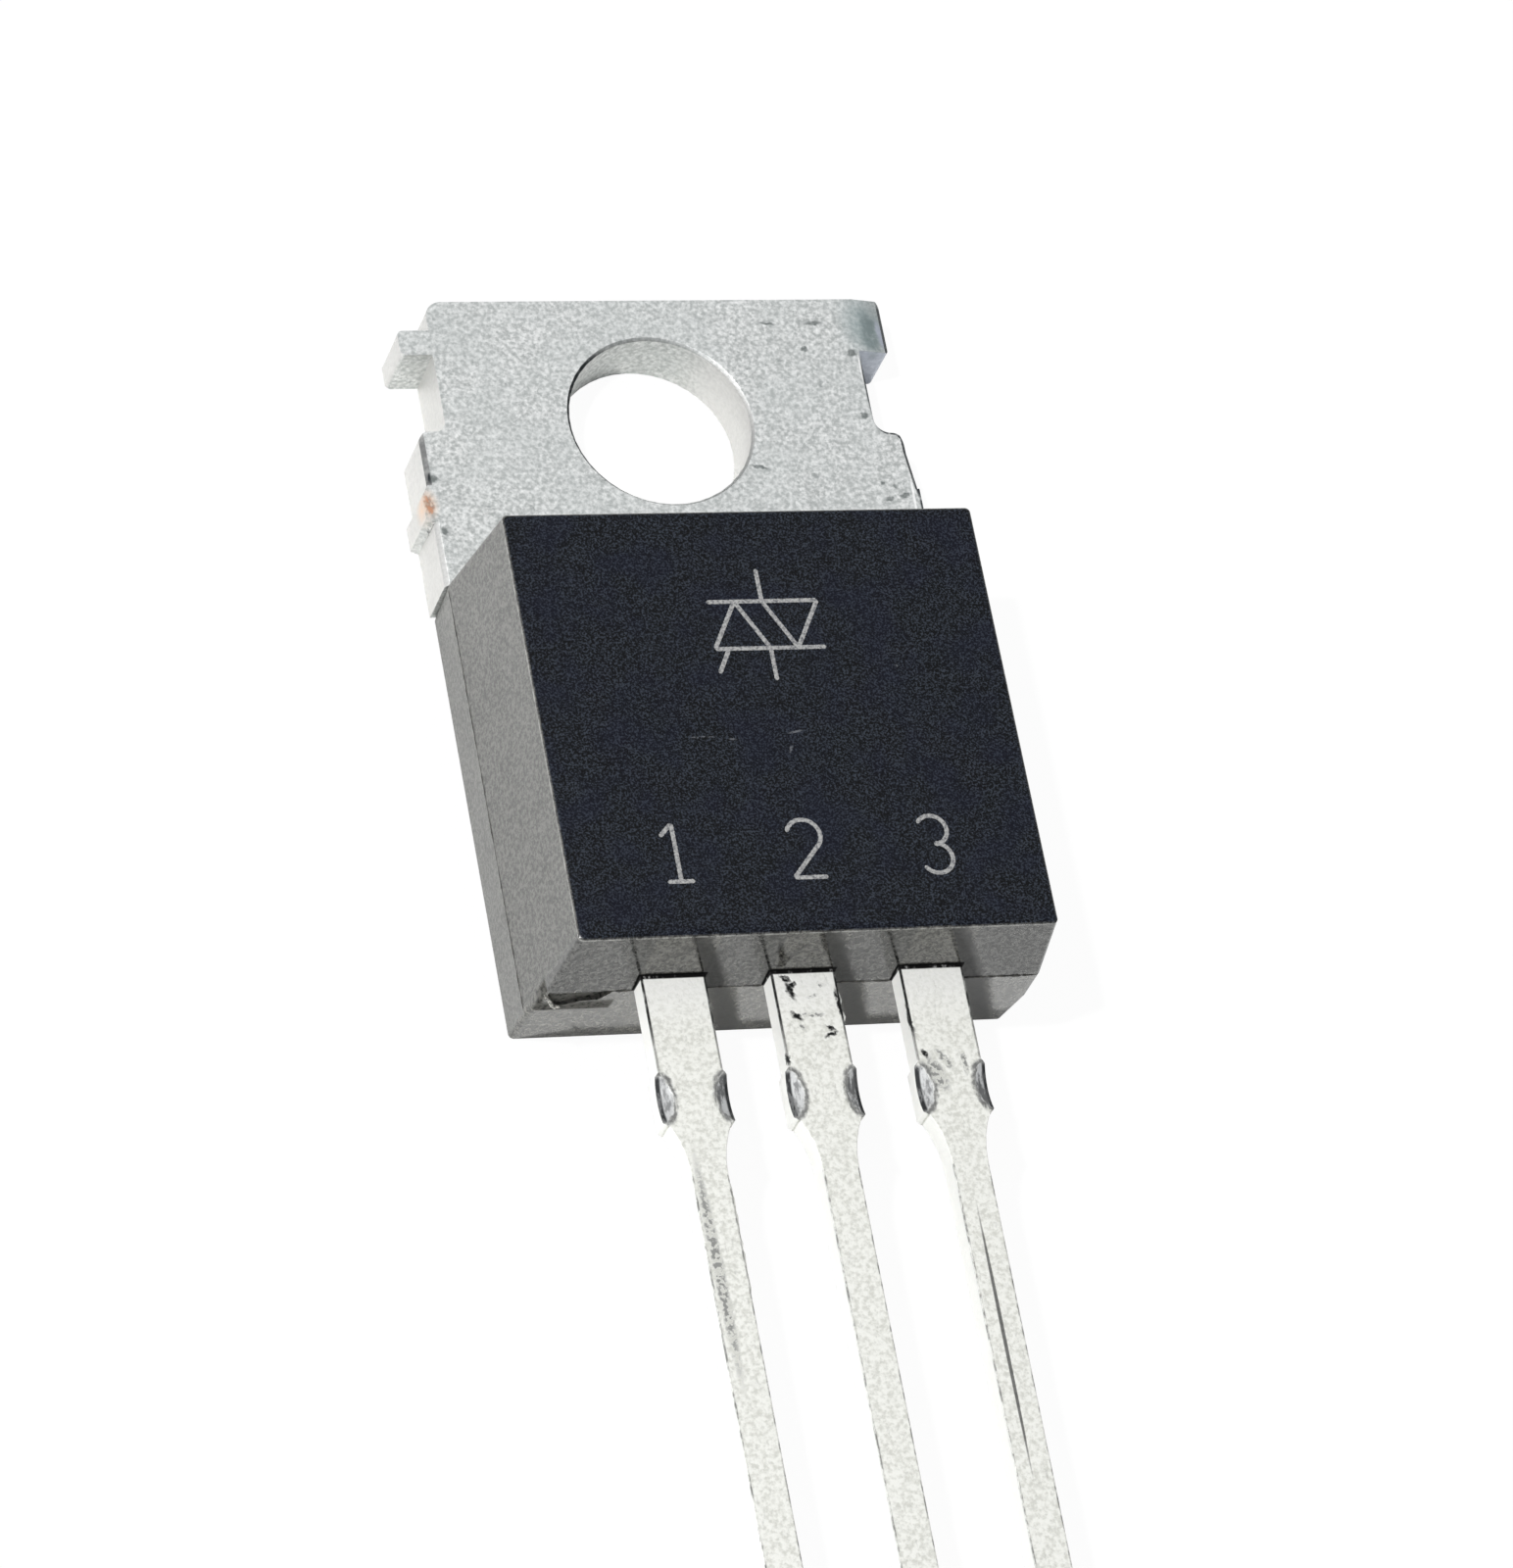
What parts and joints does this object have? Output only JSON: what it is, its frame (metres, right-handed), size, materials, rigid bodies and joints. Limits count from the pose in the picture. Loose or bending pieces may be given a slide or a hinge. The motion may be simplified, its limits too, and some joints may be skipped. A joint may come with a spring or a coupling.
{
  "type": "thyristor",
  "caption": "Isolated-tab power thyristor: drafted black resin body on a tinned copper heatsink tab with a mounting hole, and flat leads with dam-bar stubs and curved shoulders.",
  "frame": {"origin": "where the mounting hole's axis meets the heatsink face", "axes": "+Z from the heatsink face to the front face, +Y from the lead tips to the tab's top edge, +X to the right seen from the front; the part lies on its heatsink face"},
  "size_m": [0.0102, 0.0291, 0.0044],
  "materials": {
    "tinned_copper_tab": "matte mottled tin plating on copper",
    "moulded_epoxy": "fine-grained moulded epoxy",
    "tinned_lead": "satin tin plating on copper",
    "solder": "dull solder",
    "copper_foil": "satin copper",
    "alumina": "fired white ceramic",
    "silicon": "polished silicon",
    "aluminium_contact": "bright evaporated metal",
    "aluminium_wire": "drawn aluminium wire"
  },
  "bodies": {
    "root": {"heatsink_tab": "tinned_copper_tab", "mold_body": "moulded_epoxy", "main_lead_1": "tinned_lead", "main_lead_2": "tinned_lead", "gate_lead": "tinned_lead", "plate_solder": "solder", "lower_foil": "copper_foil", "insulator_plate": "alumina", "upper_foil": "copper_foil", "lead_solder": "solder", "die_solder": "solder", "silicon_die": "silicon", "main_contact": "aluminium_contact", "gate_contact": "aluminium_contact", "main_wire_1": "aluminium_wire", "main_wire_2": "aluminium_wire", "gate_wire": "aluminium_wire"}
  },
  "joints": []
}
